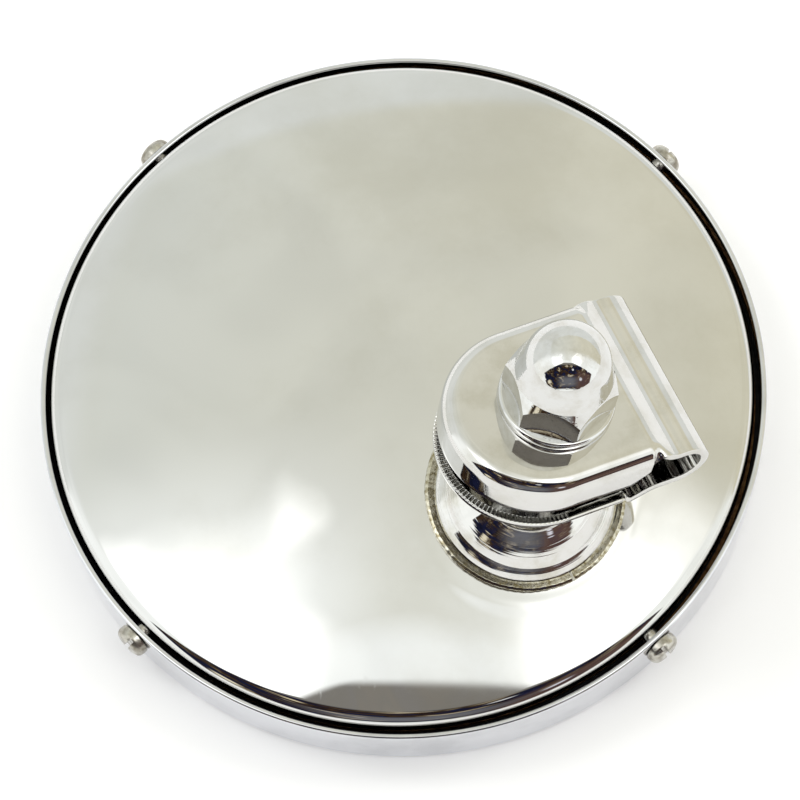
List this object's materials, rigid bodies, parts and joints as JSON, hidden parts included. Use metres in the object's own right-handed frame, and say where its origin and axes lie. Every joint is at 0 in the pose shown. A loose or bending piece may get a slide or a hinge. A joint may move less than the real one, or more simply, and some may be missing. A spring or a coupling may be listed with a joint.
{
  "type": "clip-on rear-view mirror",
  "caption": "Round chromed rear-view mirror, lying glass down, with a domed back, an off-centre ball joint and a folded bar clamp held by an acorn nut.",
  "frame": {"origin": "centre of the round rim, on the rim's front face, which is the lowest face", "axes": "+Z out of the back of the mirror; the glass looks along -Z; the four rim screws lie halfway between +X and +Y and every quarter turn from there; the ball joint lies between +X and -Y"},
  "size_m": [0.127, 0.127, 0.0728],
  "materials": {
    "rim_chrome": "bright chrome plate",
    "gasket_rubber": "matte rubber",
    "mirror_glass": "silvered glass",
    "backing_card": "pressed card",
    "cork": "cork sheet",
    "shell_chrome": "bright chrome plate, lightly scuffed",
    "screw_steel": "worn nickel plate",
    "zinc_steel": "zinc plate",
    "seat_ring_brass": "pale brass under worn plate",
    "housing_chrome": "bright chrome plate over turned rings",
    "seat_bronze": "greased bronze",
    "spring_steel": "oiled spring steel",
    "plug_brass": "turned brass",
    "stud_chrome": "bright chrome plate",
    "strap_chrome": "bright chrome plate",
    "washer_chrome": "bright chrome plate",
    "nut_chrome": "bright chrome plate, speckled"
  },
  "bodies": {
    "head": {"rim": "rim_chrome", "glass_gasket": "gasket_rubber", "mirror_glass": "mirror_glass", "backing_card": "backing_card", "packing_ring": "cork", "back_shell": "shell_chrome", "rim_screws": "screw_steel", "clinch_nuts": "zinc_steel", "seat_ring": "seat_ring_brass", "ball_housing": "housing_chrome", "disc_springs": "spring_steel", "adjuster_plug": "plug_brass", "backing_washer": "zinc_steel", "ring_nut": "plug_brass"},
    "cup": {"ball_seat": "seat_bronze"},
    "stud": {"ball_stud": "stud_chrome", "tooth_washer": "zinc_steel"},
    "clamp": {"clamp_strap": "strap_chrome"},
    "washer": {"plain_washer": "washer_chrome"},
    "nut": {"acorn_nut": "nut_chrome"}
  },
  "joints": [
    {"name": "swivel", "type": "hinge", "parent": "head", "child": "cup", "pos_m": [0.02223, -0.02247, 0.02455], "axis": [0.118, -0.118, 0.986], "continuous": true},
    {"name": "tilt", "type": "hinge", "parent": "cup", "child": "stud", "pos_m": [0.02223, -0.02247, 0.02455], "axis": [-0.9824, 0.1313, 0.1332], "range_deg": [-40.7, 7.3]},
    {"name": "clamp_turn", "type": "hinge", "parent": "stud", "child": "clamp", "pos_m": [0.02697, -0.01726, 0.05443], "axis": [0.1547, 0.1698, 0.9733], "continuous": true},
    {"name": "nut_rise", "type": "slide", "parent": "stud", "child": "washer", "axis": [0.1547, 0.1698, 0.9733], "range_m": [0, 0.01144]},
    {"name": "nut_turn", "type": "hinge", "parent": "washer", "child": "nut", "pos_m": [0.02722, -0.01699, 0.05599], "axis": [0.1547, 0.1698, 0.9733], "range_deg": [0, 3240]}
  ],
  "couplings": [
    {"joint": "nut_rise", "follows": "nut_turn", "m_per_rad": 0.00020213}
  ]
}
